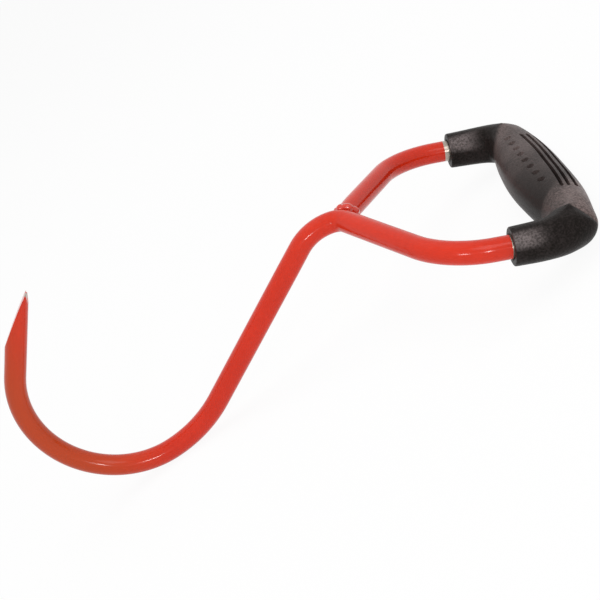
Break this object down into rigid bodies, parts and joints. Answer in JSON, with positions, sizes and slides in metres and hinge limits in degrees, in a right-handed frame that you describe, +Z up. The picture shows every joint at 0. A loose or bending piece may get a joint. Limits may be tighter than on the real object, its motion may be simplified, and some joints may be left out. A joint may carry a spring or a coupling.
{
  "type": "pack hook",
  "caption": "Hand hook for packs and bales: a round steel bar bent to a sharpened hook, forked into two arms with a moulded D-shaped grip.",
  "frame": {"origin": "centre of the bounding box, on the surface that the hook lies on", "axes": "+Z up; +X from the bow towards the grip, along the hook; the hook's plane is the XZ plane; the arm that is one bar with the hook is on the -Y side"},
  "size_m": [0.2739, 0.1384, 0.1098],
  "materials": {
    "red_paint": "glossy red paint on round bar, worn to bare steel at the point and beside the grip",
    "painted_weld": "rippled weld bead under the same paint",
    "grip_moulding": "matte black plastic with a fine grain"
  },
  "bodies": {
    "root": {"hook_bar": "red_paint", "side_arm": "red_paint", "fork_weld": "painted_weld", "hand_grip": "grip_moulding"}
  },
  "joints": []
}
